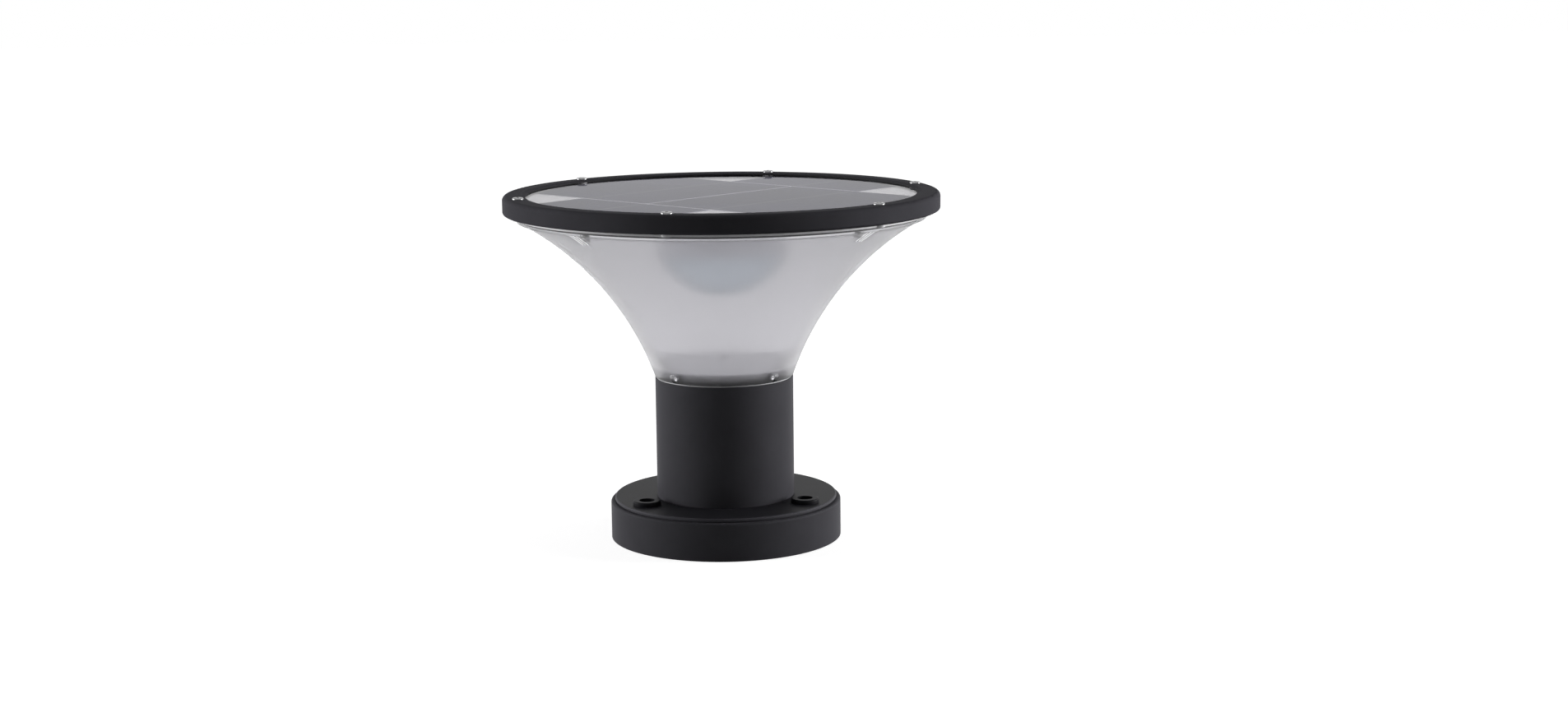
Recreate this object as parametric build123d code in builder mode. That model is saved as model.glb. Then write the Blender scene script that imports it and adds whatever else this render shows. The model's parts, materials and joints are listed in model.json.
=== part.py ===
from build123d import *
import math
import os

os.makedirs("parts", exist_ok=True)

# Solar wall-top light: a base that bolts to the wall, a post with the battery, a clear flared shade
# with the light dome inside, and a round solar panel on top.
# Millimetres and degrees. Z is up, the origin is the middle of the base's underside, and -Y is the front.

# Base
BASE_D = 134.0
SKIRT_H = 21.8
SKIRT_WALL = 4.0
SKIRT_SHOULDER_R = 1.2
LIP_W = 5.0
LIP_T = 3.8
PLATE_INSET = 2.4
PLATE_T = 1.6
PLATE_EDGE_R = 0.8
SEAM_H = 0.6
SEAM_DEPTH = 0.7
SPIGOT_DEPTH = 2.8
SPIGOT_CLEAR = 0.2
ANCHOR_COUNT = 3
ANCHOR_TURN = 90.0
TAB_TURN = ANCHOR_TURN + 180 / ANCHOR_COUNT
ANCHOR_HOLE_D = 9.0
ANCHOR_BOSS_D = 16.0
ANCHOR_BOSS_H = 2.5
ANCHOR_BOSS_R = 0.8
COLUMN_WALL = 2.4
WEB_T = 5.0
TAB_W = 12.0
TAB_T = 3.5
TAB_OVERHANG = 8.8
FUSE = 1.0

# Post
POST_D = 80.0
POST_WALL = 3.0
POST_BOSS_D = 7.0
POST_BOSS_COUNT = 3
POST_BOSS_TURN = 30.0
POST_BOSS_WEB = 4.0
CAP_T = 3.0
CAP_CLEAR = 0.2
CAP_RIM_W = 3.3
CAP_RIM_H = 6.2
CAP_RIM_STEP = 0.9
REFLECTOR_T = 0.5
REFLECTOR_INSET = 0.3

# Hatch under the post
HATCH_T = 3.0
HATCH_SEAL_T = 0.8
HATCH_SEAL_W = 1.8
HATCH_MARGIN = 9.5
HATCH_SCREW_MARGIN = 4.8

# Push switch in the hatch
SWITCH_Y = -14.5
SWITCH_BEZEL_D = 17.0
SWITCH_BEZEL_T = 2.0
SWITCH_BEZEL_R = 0.5
SWITCH_SEAL_T = 0.8
SWITCH_BARREL_D = 12.0
SWITCH_BARREL_L = 18.0
SWITCH_CAVITY_D = 10.0
SWITCH_NECK_L = 3.6
SWITCH_ROOF_T = 2.0
SWITCH_NUT_ACROSS = 14.0
SWITCH_NUT_T = 3.0
TERMINAL_W = 2.8
TERMINAL_T = 0.8
TERMINAL_H = 4.0
TERMINAL_GAP = 4.4
BUTTON_D = 8.0
BUTTON_PROUD = 4.0
BUTTON_TIP_R = 1.0
BUTTON_COLLAR_T = 1.9
BUTTON_GUIDE_D = 4.0
BUTTON_GUIDE_L = 3.0
BUTTON_CLEAR = 0.1
BUTTON_STOP_GAP = 0.05
COLLAR_CLEAR = 0.2
SPRING_WIRE_D = 0.6
SPRING_MEAN_D = 7.0
SPRING_TURNS = 6
SPRING_END_GAP = 0.1

# Battery
CELL_D = 18.4
CELL_L = 65.0
CELL_EDGE_R = 0.6
CELL_GAP = 1.2
CELL_Y = 6.0
CELL_FIT = 0.2
CRADLE_WALL = 1.5
CRADLE_FLOOR = 2.0
CRADLE_CUP_H = 7.8
LINK_T = 0.3
LINK_W = 7.0
LINK_FIT = 0.1
PAD_T = 3.2
PAD_W = 12.0
PAD_CORNER_R = 3.0

# Shade
FOOT_GASKET_T = 0.6
FOOT_GASKET_INSET = 0.6
SHADE_H = 93.1
SHADE_WALL = 2.6
SHADE_ARC_R = 170.8
FLANGE_T = 1.2
FLANGE_LIP = 1.4
FLANGE_ROOT_T = 2.0
COLLAR_H = 7.2
COLLAR_SLOPE_H = 12.0
COLLAR_FIT = 0.2
SHADE_BOSS_D = 6.4
SHADE_BOSS_COUNT = 4
SHADE_BOSS_TURN = 45.0
SHADE_BOSS_INSET = 10.8
SHADE_BOSS_ROOT = 14.0
SHADE_PILOT_L = 5.9
MARK_W = 3.4
MARK_T = 1.0
MARK_H = 6.0
FOOT_SCREW_RISE = 2.8
SPOT_FACE_DEPTH = 2.3
SPOT_FACE_CUT = 6.0
SHADE_GASKET_T = 1.2
SHADE_GASKET_W = 7.0
SHADE_GASKET_INSET = 0.4

# Tray that carries the panel and the lamp
BEZEL_D = 250.0
TRAY_INSET = 5.8
TRAY_FLOOR_T = 1.6
TRAY_WALL_W = 5.2
TRAY_WALL_H = 6.3
TRAY_BOSS_D = 6.4
TRAY_BOSS_CLEAR = 0.2
SHADE_FLANGE_INSET = 2.0
LEAD_HOLE_D = 8.0

# Solar panel under the bezel
GLASS_T = 2.0
GLASS_EDGE_R = 0.5
GLASS_CLEAR = 0.6
CELL_SHEET_T = 0.3
BACKSHEET_T = 0.5
GLASS_GASKET_T = 0.4
BEZEL_T = 1.0
BEZEL_H = 10.4
BEZEL_SKIRT_W = 3.6
BEZEL_BITE = 2.2
BEZEL_TOP_R = 2.8
BEZEL_FOOT_R = 1.4
BEZEL_BEVEL_W = 2.5
BEZEL_BEVEL_H = 0.6
BEZEL_SCREW_COUNT = 6
BEZEL_SCREW_TURN = 15.8
PANEL_TURN = 46.4
STRIP_HALF_W = 60.0
SIDE_HALF_L = 50.0
SHEET_GAP = 1.6
SHEET_MARGIN = 5.7

# Lamp under the tray
HOUSING_D = 74.6
HOUSING_WALL = 2.0
HOUSING_LEDGE_W = 2.8
HOUSING_LEDGE_T = 1.4
HOUSING_BOSS_D = 7.0
HOUSING_BOSS_COUNT = 3
HOUSING_BOSS_TURN = 30.0
HOUSING_BOSS_BITE = 0.6
HOUSING_PILOT_L = 11.0
LED_BOARD_T = 1.6
LED_BOARD_FIT = 0.3
LED_L = 3.5
LED_W = 2.8
LED_T = 0.8
LED_OUTER_RING_R = 26.0
LED_OUTER_COUNT = 18
LED_INNER_RING_R = 13.0
LED_INNER_COUNT = 9
DOME_DEPTH = 26.0
DOME_WALL = 2.0
DOME_SPIGOT_W = 2.1
DOME_SPIGOT_H = 2.0
DOME_FIT = 0.2
STANDOFF_D = 6.0
STANDOFF_H = 6.0
STANDOFF_X = 38.0
STANDOFF_Y = 30.0
BOARD_MARGIN = 3.0
BOARD_T = 1.6
BOARD_CORNER_R = 2.0
PARTS_H = 6.0
PARTS_GAP = 2.3
PLUG_W = 9.0
PLUG_L = 7.0
PLUG_H = 5.0
CHOKE_D = 10.0
CHOKE_H = 5.0
CAPACITOR_D = 8.0
CHIP_SIDE = 7.0
CHIP_H = 1.6
CHIP_Y = -13.0
TALL_PART_X = 9.5
TALL_PART_Y = -5.0

# Grommets for the wiring
GROMMET_BORE_D = 3.7
GROMMET_WALL = 1.4
GROMMET_FLANGE_W = 1.4
GROMMET_FLANGE_T = 1.5
GROMMET_FIT = 0.05
GROMMET_TURN = 90.0

# Screws
THREAD_CLEAR = 0.05
HOLE_CLEAR = 0.2
M4_D = 4.0
M4_HEAD_D = 7.0
M4_HEAD_H = 2.2
M3_D = 3.0
M3_HEAD_D = 6.0
M3_HEAD_H = 1.9
M25_D = 2.5
M25_HEAD_D = 4.6
M25_HEAD_H = 1.6
HEAD_CLEAR = 0.5
HEAD_SINK = 0.2
BEZEL_HEAD_D = 6.5
BEZEL_HEAD_H = 1.1
FOOT_HEAD_D = 4.6
FOOT_HEAD_H = 1.3
RECESS_W = 0.9
RECESS_MARGIN = 1.3
RECESS_DEPTH = 0.8
HEAD_EDGE_R = 0.9
POST_SCREW_L = 14.0
CAP_SCREW_L = 12.0
TAB_SCREW_L = 7.2
HATCH_SCREW_L = 7.2
BEZEL_SCREW_L = 11.9
SHADE_SCREW_L = 7.4
HOUSING_SCREW_L = 12.0
BOARD_SCREW_L = 6.4
PILOT_SPARE = 0.6

# Radii that follow
base_r = BASE_D / 2
skirt_inner_r = base_r - SKIRT_WALL
lip_r = skirt_inner_r - LIP_W
plate_r = base_r - PLATE_INSET
seam_r = plate_r - SEAM_DEPTH
spigot_r = lip_r - SPIGOT_CLEAR
post_r = POST_D / 2
post_inner_r = post_r - POST_WALL
anchor_r = (post_r + plate_r) / 2
column_r = ANCHOR_HOLE_D / 2 + COLUMN_WALL
hatch_r = anchor_r - HATCH_MARGIN
hatch_screw_r = hatch_r - HATCH_SCREW_MARGIN
cap_r = post_inner_r - CAP_CLEAR
cap_rim_r = post_inner_r - CAP_RIM_STEP
cap_rim_inner_r = cap_rim_r - CAP_RIM_W
post_boss_r = cap_rim_inner_r - M4_HEAD_D / 2 - HEAD_CLEAR
tab_inner_r = lip_r - TAB_OVERHANG
tab_screw_r = (tab_inner_r + lip_r) / 2
collar_r = cap_rim_r + COLLAR_FIT
spot_face_r = post_r - SPOT_FACE_DEPTH
foot_screw_l = spot_face_r - cap_rim_inner_r
cell_r = CELL_D / 2
cell_x = cell_r + CELL_GAP / 2
cup_inner_r = cell_r + CELL_FIT
cup_r = cup_inner_r + CRADLE_WALL
bezel_r = BEZEL_D / 2
bezel_skirt_r = bezel_r - BEZEL_SKIRT_W
bezel_screw_r = bezel_skirt_r - TRAY_BOSS_CLEAR - TRAY_BOSS_D / 2
tray_r = bezel_r - TRAY_INSET
glass_r = bezel_screw_r - TRAY_BOSS_D / 2 - GLASS_CLEAR
bezel_open_r = glass_r - BEZEL_BITE
tray_wall_inner_r = glass_r - TRAY_WALL_W
flange_r = tray_r - SHADE_FLANGE_INSET
flare_r = flange_r - FLANGE_LIP
shade_boss_r = flare_r - SHADE_BOSS_INSET
housing_r = HOUSING_D / 2
housing_inner_r = housing_r - HOUSING_WALL
housing_boss_r = housing_inner_r + HOUSING_BOSS_BITE - HOUSING_BOSS_D / 2
sheet_r = glass_r - SHEET_MARGIN

# Heights that follow
z_spigot = SKIRT_H - SPIGOT_DEPTH
z_seam_top = SKIRT_H + SEAM_H
z_plate_top = z_seam_top + PLATE_T
z_boss_top = z_plate_top + ANCHOR_BOSS_H
z_hatch_top = z_spigot - HATCH_SEAL_T
z_hatch = z_hatch_top - HATCH_T
z_link_lower = z_hatch_top + CRADLE_FLOOR
z_cell = z_link_lower + LINK_T
z_link_upper = z_cell + CELL_L
z_cradle_top = z_link_upper + LINK_T + CRADLE_FLOOR
z_cap = z_cradle_top + PAD_T
z_post_top = z_cap + CAP_T
z_shade = z_post_top + FOOT_GASKET_T
z_shade_top = z_shade + SHADE_H
z_flange = z_shade_top - FLANGE_T
z_tray = z_shade_top + SHADE_GASKET_T
z_floor_top = z_tray + TRAY_FLOOR_T
z_backsheet = z_floor_top + TRAY_WALL_H
z_sheet = z_backsheet + BACKSHEET_T
z_glass = z_sheet + CELL_SHEET_T
z_glass_top = z_glass + GLASS_T
z_bezel_plate = z_glass_top + GLASS_GASKET_T
z_bezel_top = z_bezel_plate + BEZEL_T
z_board_top = z_tray - STANDOFF_H
z_board = z_board_top - BOARD_T
z_parts = z_board - PARTS_H
z_ledge_top = z_parts - PARTS_GAP
z_led_board_top = z_ledge_top - HOUSING_LEDGE_T
z_led_board = z_led_board_top - LED_BOARD_T
z_dome = z_led_board - DOME_SPIGOT_H
z_foot_screw = z_shade + FOOT_SCREW_RISE
z_switch_seal = z_hatch - SWITCH_SEAL_T
z_switch_bezel = z_switch_seal - SWITCH_BEZEL_T
z_neck_top = z_switch_bezel + SWITCH_NECK_L
z_barrel_top = z_switch_seal + SWITCH_BARREL_L
z_cavity_top = z_barrel_top - SWITCH_ROOF_T
z_plug = z_board - PLUG_H / 2

# The wiring leaves the post above the valley behind the two battery cups
grommet_y = CELL_Y + math.sqrt((cup_r + GROMMET_BORE_D / 2 + CELL_FIT) ** 2 - cell_x**2)
plug_y = STANDOFF_Y / 2 + BOARD_MARGIN - PLUG_L / 2
grommet_r = GROMMET_BORE_D / 2 + GROMMET_WALL


def pan_screw(shank_d, head_d, head_h, length, from_below=False):
    """A cross-recess pan screw whose head sits on the XY plane, shank down, or turned to point up."""
    with BuildPart() as screw:
        with BuildSketch():
            Circle(head_d / 2)
        extrude(amount=head_h)
        fillet(screw.edges().group_by(Axis.Z)[-1], HEAD_EDGE_R)
        with BuildSketch():
            Circle(shank_d / 2)
        extrude(amount=-length)
        with BuildSketch(Plane.XY.offset(head_h)):
            Rectangle(head_d - 2 * RECESS_MARGIN, RECESS_W)
            Rectangle(RECESS_W, head_d - 2 * RECESS_MARGIN)
        extrude(amount=-RECESS_DEPTH, mode=Mode.SUBTRACT)
    if from_below:
        return screw.part.rotate(Axis.X, 180)
    return screw.part


def meridian(angle):
    """The upright plane through the Z axis at this azimuth, with x pointing outwards and y up."""
    turn = math.radians(angle)
    return Plane(
        origin=(0, 0, 0),
        x_dir=(math.cos(turn), math.sin(turn), 0),
        z_dir=(math.sin(turn), -math.cos(turn), 0),
    )


def outward(angle, radius, height):
    """The upright plane that faces outwards at this azimuth, radius and height."""
    turn = math.radians(angle)
    return Plane(
        origin=(radius * math.cos(turn), radius * math.sin(turn), height),
        x_dir=(-math.sin(turn), math.cos(turn), 0),
        z_dir=(math.cos(turn), math.sin(turn), 0),
    )


# Base skirt: the cast cup that stands on the wall
z_tab = z_spigot - TAB_T
with BuildPart() as base_skirt:
    with BuildSketch(Plane.XZ):
        with BuildLine():
            Polyline(
                (base_r, 0),
                (base_r, SKIRT_H),
                (lip_r, SKIRT_H),
                (lip_r, SKIRT_H - LIP_T),
                (skirt_inner_r, SKIRT_H - LIP_T),
                (skirt_inner_r, 0),
                close=True,
            )
        make_face()
    revolve(axis=Axis.Z)
    shoulder = base_skirt.edges().filter_by(GeomType.CIRCLE).group_by(Axis.Z)[-1]
    fillet(shoulder.sort_by(SortBy.RADIUS)[-1], SKIRT_SHOULDER_R)
    with BuildSketch(Plane.XY):
        with PolarLocations(anchor_r, ANCHOR_COUNT, ANCHOR_TURN):
            Circle(column_r)
        with PolarLocations((anchor_r + skirt_inner_r) / 2, ANCHOR_COUNT, ANCHOR_TURN):
            Rectangle(skirt_inner_r - anchor_r + FUSE, WEB_T)
    extrude(amount=z_spigot)
    with BuildSketch(Plane.XY.offset(z_tab)):
        with PolarLocations((tab_inner_r + skirt_inner_r) / 2, ANCHOR_COUNT, TAB_TURN):
            Rectangle(skirt_inner_r - tab_inner_r + FUSE, TAB_W)
    extrude(amount=TAB_T)
    with BuildSketch(Plane.XY):
        with PolarLocations(anchor_r, ANCHOR_COUNT, ANCHOR_TURN):
            Circle(ANCHOR_HOLE_D / 2)
        with PolarLocations(tab_screw_r, ANCHOR_COUNT, TAB_TURN):
            Circle(M3_D / 2 + HOLE_CLEAR)
    extrude(amount=SKIRT_H, mode=Mode.SUBTRACT)
base_skirt.part.label = "base_skirt"
export_step(base_skirt.part, "parts/base_skirt.step")

# Flange plate: closes the skirt, carries the post, and has a raised boss at each anchor hole
with BuildPart() as flange_plate:
    with BuildSketch(Plane.XZ):
        with BuildLine():
            Polyline(
                (0, z_spigot),
                (spigot_r, z_spigot),
                (spigot_r, SKIRT_H),
                (seam_r, SKIRT_H),
                (seam_r, z_seam_top),
                (plate_r, z_seam_top),
                (plate_r, z_plate_top),
                (0, z_plate_top),
                close=True,
            )
        make_face()
    revolve(axis=Axis.Z)
    rim_edges = flange_plate.edges().filter_by(GeomType.CIRCLE).group_by(Axis.Z)[-1]
    fillet(rim_edges, PLATE_EDGE_R)
    with BuildSketch(Plane.XY.offset(z_plate_top)):
        with PolarLocations(anchor_r, ANCHOR_COUNT, ANCHOR_TURN):
            Circle(ANCHOR_BOSS_D / 2)
    extrude(amount=ANCHOR_BOSS_H)
    fillet(flange_plate.edges().group_by(Axis.Z)[-1], ANCHOR_BOSS_R)
    with BuildSketch(Plane.XY.offset(z_spigot)):
        Circle(cup_r + math.hypot(cell_x, CELL_Y) + HEAD_CLEAR)
        with PolarLocations(anchor_r, ANCHOR_COUNT, ANCHOR_TURN):
            Circle(ANCHOR_HOLE_D / 2)
        with PolarLocations(post_boss_r, POST_BOSS_COUNT, POST_BOSS_TURN):
            Circle(M4_D / 2 + HOLE_CLEAR)
    extrude(amount=z_boss_top - z_spigot, mode=Mode.SUBTRACT)
    with BuildSketch(Plane.XY.offset(z_spigot)):
        with PolarLocations(post_boss_r, POST_BOSS_COUNT, POST_BOSS_TURN):
            Circle(M4_HEAD_D / 2 + HEAD_CLEAR)
    extrude(amount=M4_HEAD_H + HEAD_SINK, mode=Mode.SUBTRACT)
    with BuildSketch(Plane.XY.offset(z_spigot)):
        with PolarLocations(tab_screw_r, ANCHOR_COUNT, TAB_TURN):
            Circle(M3_D / 2 + THREAD_CLEAR)
        with PolarLocations(hatch_screw_r, ANCHOR_COUNT, ANCHOR_TURN):
            Circle(M3_D / 2 + THREAD_CLEAR)
    extrude(amount=TAB_SCREW_L - TAB_T + PILOT_SPARE, mode=Mode.SUBTRACT)
flange_plate.part.label = "flange_plate"
export_step(flange_plate.part, "parts/flange_plate.step")

# Screws that hold the skirt's tabs to the flange plate
tab_screw = pan_screw(M3_D, M3_HEAD_D, M3_HEAD_H, TAB_SCREW_L, from_below=True)
with BuildPart(Plane.XY.offset(z_tab)) as flange_screws:
    with PolarLocations(tab_screw_r, ANCHOR_COUNT, TAB_TURN):
        add(tab_screw)
flange_screws.part.label = "flange_screws"
export_step(flange_screws.part, "parts/flange_screws.step")

# Post tube with webbed screw bosses inside
with BuildPart() as post_tube:
    with BuildSketch(Plane.XY.offset(z_plate_top)):
        Circle(post_r)
        Circle(post_inner_r, mode=Mode.SUBTRACT)
    extrude(amount=z_post_top - z_plate_top)
    with BuildSketch(Plane.XY.offset(z_plate_top)):
        with PolarLocations(post_boss_r, POST_BOSS_COUNT, POST_BOSS_TURN):
            Circle(POST_BOSS_D / 2)
        with PolarLocations((post_boss_r + post_inner_r) / 2, POST_BOSS_COUNT, POST_BOSS_TURN):
            Rectangle(post_inner_r - post_boss_r + FUSE, POST_BOSS_WEB)
    extrude(amount=z_cap - z_plate_top)
    with BuildSketch(Plane.XY.offset(z_plate_top)):
        with PolarLocations(post_boss_r, POST_BOSS_COUNT, POST_BOSS_TURN):
            Circle(M4_D / 2 + THREAD_CLEAR)
    extrude(amount=POST_SCREW_L, mode=Mode.SUBTRACT)
    with BuildSketch(Plane.XY.offset(z_cap)):
        with PolarLocations(post_boss_r, POST_BOSS_COUNT, POST_BOSS_TURN):
            Circle(M4_D / 2 + THREAD_CLEAR)
    extrude(amount=-CAP_SCREW_L, mode=Mode.SUBTRACT)
post_tube.part.label = "post_tube"
export_step(post_tube.part, "parts/post_tube.step")

# Screws that hold the post to the flange plate, from below
post_screw = pan_screw(M4_D, M4_HEAD_D, M4_HEAD_H, POST_SCREW_L, from_below=True)
with BuildPart(Plane.XY.offset(z_spigot + M4_HEAD_H + HEAD_SINK)) as post_screws:
    with PolarLocations(post_boss_r, POST_BOSS_COUNT, POST_BOSS_TURN):
        add(post_screw)
post_screws.part.label = "post_screws"
export_step(post_screws.part, "parts/post_screws.step")

# Hatch under the battery, its seal and its screws
with BuildPart() as base_hatch:
    with BuildSketch(Plane.XY.offset(z_hatch)):
        Circle(hatch_r)
        with PolarLocations(hatch_screw_r, ANCHOR_COUNT, ANCHOR_TURN):
            Circle(M3_D / 2 + HOLE_CLEAR, mode=Mode.SUBTRACT)
        with Locations((0, SWITCH_Y)):
            Circle(SWITCH_BARREL_D / 2 + HOLE_CLEAR, mode=Mode.SUBTRACT)
    extrude(amount=HATCH_T)
base_hatch.part.label = "base_hatch"
export_step(base_hatch.part, "parts/base_hatch.step")

with BuildPart() as hatch_seal:
    with BuildSketch(Plane.XY.offset(z_hatch_top)):
        Circle(hatch_r)
        Circle(hatch_r - HATCH_SEAL_W, mode=Mode.SUBTRACT)
    extrude(amount=HATCH_SEAL_T)
hatch_seal.part.label = "hatch_seal"
export_step(hatch_seal.part, "parts/hatch_seal.step")

hatch_screw = pan_screw(M3_D, M3_HEAD_D, M3_HEAD_H, HATCH_SCREW_L, from_below=True)
with BuildPart(Plane.XY.offset(z_hatch)) as hatch_screws:
    with PolarLocations(hatch_screw_r, ANCHOR_COUNT, ANCHOR_TURN):
        add(hatch_screw)
hatch_screws.part.label = "hatch_screws"
export_step(hatch_screws.part, "parts/hatch_screws.step")

# Push switch: a threaded barrel with a flanged mouth below the hatch and two terminals on top
switch_axis = (0, SWITCH_Y)
with BuildPart() as switch_body:
    with BuildSketch(Plane.XY.offset(z_switch_bezel)):
        with Locations(switch_axis):
            Circle(SWITCH_BEZEL_D / 2)
    extrude(amount=SWITCH_BEZEL_T)
    fillet(switch_body.edges().group_by(Axis.Z)[0], SWITCH_BEZEL_R)
    with BuildSketch(Plane.XY.offset(z_switch_seal)):
        with Locations(switch_axis):
            Circle(SWITCH_BARREL_D / 2)
    extrude(amount=SWITCH_BARREL_L)
    with BuildSketch(Plane.XY.offset(z_barrel_top)):
        with Locations((-TERMINAL_GAP / 2, SWITCH_Y), (TERMINAL_GAP / 2, SWITCH_Y)):
            Rectangle(TERMINAL_T, TERMINAL_W)
    extrude(amount=TERMINAL_H)
    with BuildSketch(Plane.XY.offset(z_switch_bezel)):
        with Locations(switch_axis):
            Circle(BUTTON_D / 2 + BUTTON_CLEAR)
    extrude(amount=SWITCH_NECK_L, mode=Mode.SUBTRACT)
    with BuildSketch(Plane.XY.offset(z_neck_top)):
        with Locations(switch_axis):
            Circle(SWITCH_CAVITY_D / 2)
    extrude(amount=z_cavity_top - z_neck_top, mode=Mode.SUBTRACT)
switch_body.part.label = "switch_body"
export_step(switch_body.part, "parts/switch_body.step")

with BuildPart() as switch_seal:
    with BuildSketch(Plane.XY.offset(z_switch_seal)):
        with Locations(switch_axis):
            Circle(SWITCH_BEZEL_D / 2 - HOLE_CLEAR)
            Circle(SWITCH_BARREL_D / 2 + HOLE_CLEAR, mode=Mode.SUBTRACT)
    extrude(amount=SWITCH_SEAL_T)
switch_seal.part.label = "switch_seal"
export_step(switch_seal.part, "parts/switch_seal.step")

with BuildPart() as switch_nut:
    with BuildSketch(Plane.XY.offset(z_hatch_top)):
        with Locations(switch_axis):
            RegularPolygon(SWITCH_NUT_ACROSS / 2, 6, major_radius=False)
            Circle(SWITCH_BARREL_D / 2 + THREAD_CLEAR, mode=Mode.SUBTRACT)
    extrude(amount=SWITCH_NUT_T)
switch_nut.part.label = "switch_nut"
export_step(switch_nut.part, "parts/switch_nut.step")

# Button: a plunger with a collar that stops it on the neck, and a guide for the spring
z_collar = z_neck_top + BUTTON_STOP_GAP
z_collar_top = z_collar + BUTTON_COLLAR_T
with BuildPart() as switch_button:
    with BuildSketch(Plane.XY.offset(z_switch_bezel - BUTTON_PROUD)):
        with Locations(switch_axis):
            Circle(BUTTON_D / 2)
    extrude(amount=z_collar - z_switch_bezel + BUTTON_PROUD)
    fillet(switch_button.edges().group_by(Axis.Z)[0], BUTTON_TIP_R)
    with BuildSketch(Plane.XY.offset(z_collar)):
        with Locations(switch_axis):
            Circle(SWITCH_CAVITY_D / 2 - COLLAR_CLEAR)
    extrude(amount=BUTTON_COLLAR_T)
    with BuildSketch(Plane.XY.offset(z_collar_top)):
        with Locations(switch_axis):
            Circle(BUTTON_GUIDE_D / 2)
    extrude(amount=BUTTON_GUIDE_L)
switch_button.part.label = "switch_button"
export_step(switch_button.part, "parts/switch_button.step")

# Return spring between the collar and the roof of the barrel
z_spring = z_collar_top + SPRING_END_GAP + SPRING_WIRE_D / 2
spring_rise = z_cavity_top - SPRING_END_GAP - SPRING_WIRE_D / 2 - z_spring
with BuildPart() as switch_spring:
    with BuildLine() as coil:
        Helix(spring_rise / SPRING_TURNS, spring_rise, SPRING_MEAN_D / 2, center=(0, SWITCH_Y, z_spring))
    with BuildSketch(Plane(origin=coil.line @ 0, z_dir=coil.line % 0)):
        Circle(SPRING_WIRE_D / 2)
    sweep(path=coil.line, is_frenet=True)
switch_spring.part.label = "switch_spring"
export_step(switch_spring.part, "parts/switch_spring.step")

# Battery cells side by side
with BuildPart() as battery_cells:
    with BuildSketch(Plane.XY.offset(z_cell)):
        with Locations((-cell_x, CELL_Y), (cell_x, CELL_Y)):
            Circle(cell_r)
    extrude(amount=CELL_L)
    fillet(battery_cells.edges().filter_by(GeomType.CIRCLE), CELL_EDGE_R)
battery_cells.part.label = "battery_cells"
export_step(battery_cells.part, "parts/battery_cells.step")

# Nickel links under and over the cells
link_l = 2 * cell_x + LINK_W
with BuildPart() as battery_links:
    for z_link in (z_link_lower, z_link_upper):
        with BuildSketch(Plane.XY.offset(z_link)):
            with Locations((0, CELL_Y)):
                Rectangle(link_l, LINK_W)
        extrude(amount=LINK_T)
battery_links.part.label = "battery_links"
export_step(battery_links.part, "parts/battery_links.step")


def cradle(z_floor, rise):
    """A pair of joined cups for the cells' ends. rise is 1 for cups that open upwards, -1 for down."""
    with BuildPart() as made:
        with BuildSketch(Plane.XY.offset(z_floor)):
            with Locations((-cell_x, CELL_Y), (cell_x, CELL_Y)):
                Circle(cup_r)
        extrude(amount=rise * (CRADLE_FLOOR + CRADLE_CUP_H))
        with BuildSketch(Plane.XY.offset(z_floor + rise * CRADLE_FLOOR)):
            with Locations((-cell_x, CELL_Y), (cell_x, CELL_Y)):
                Circle(cup_inner_r)
        extrude(amount=rise * CRADLE_CUP_H, mode=Mode.SUBTRACT)
        with BuildSketch(Plane.XY.offset(z_floor + rise * CRADLE_FLOOR)):
            with Locations((0, CELL_Y)):
                Rectangle(link_l, LINK_W + 2 * LINK_FIT)
        extrude(amount=rise * (LINK_T + LINK_FIT), mode=Mode.SUBTRACT)
    return made.part


lower_cups = cradle(z_hatch_top, 1)
with BuildPart() as battery_cradle_lower:
    add(lower_cups)
battery_cradle_lower.part.label = "battery_cradle_lower"
export_step(battery_cradle_lower.part, "parts/battery_cradle_lower.step")

upper_cups = cradle(z_cradle_top, -1)
with BuildPart() as battery_cradle_upper:
    add(upper_cups)
battery_cradle_upper.part.label = "battery_cradle_upper"
export_step(battery_cradle_upper.part, "parts/battery_cradle_upper.step")

# Foam pad that holds the battery down
with BuildPart() as battery_pad:
    with BuildSketch(Plane.XY.offset(z_cradle_top)):
        with Locations((0, CELL_Y)):
            RectangleRounded(2 * cell_x + PAD_W, PAD_W, PAD_CORNER_R)
    extrude(amount=PAD_T)
battery_pad.part.label = "battery_pad"
export_step(battery_pad.part, "parts/battery_pad.step")

# Post cap: closes the post, and its rim locates the shade's foot
with BuildPart() as post_cap:
    with BuildSketch(Plane.XY.offset(z_cap)):
        Circle(cap_r)
    extrude(amount=CAP_T)
    with BuildSketch(Plane.XY.offset(z_post_top)):
        Circle(cap_rim_r)
        Circle(cap_rim_inner_r, mode=Mode.SUBTRACT)
    extrude(amount=CAP_RIM_H)
    with BuildSketch(Plane.XY.offset(z_cap)):
        with PolarLocations(post_boss_r, POST_BOSS_COUNT, POST_BOSS_TURN):
            Circle(M4_D / 2 + HOLE_CLEAR)
        with Locations((0, grommet_y)):
            Circle(grommet_r + GROMMET_FIT)
    extrude(amount=CAP_T, mode=Mode.SUBTRACT)
    for screw in range(SHADE_BOSS_COUNT):
        turn = SHADE_BOSS_TURN + screw * 360 / SHADE_BOSS_COUNT
        with BuildSketch(outward(turn, spot_face_r, z_foot_screw)):
            Circle(M3_D / 2 + THREAD_CLEAR)
        extrude(amount=-foot_screw_l - PILOT_SPARE, mode=Mode.SUBTRACT)
post_cap.part.label = "post_cap"
export_step(post_cap.part, "parts/post_cap.step")

cap_screw = pan_screw(M4_D, M4_HEAD_D, M4_HEAD_H, CAP_SCREW_L)
with BuildPart(Plane.XY.offset(z_post_top)) as cap_screws:
    with PolarLocations(post_boss_r, POST_BOSS_COUNT, POST_BOSS_TURN):
        add(cap_screw)
cap_screws.part.label = "cap_screws"
export_step(cap_screws.part, "parts/cap_screws.step")

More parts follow.
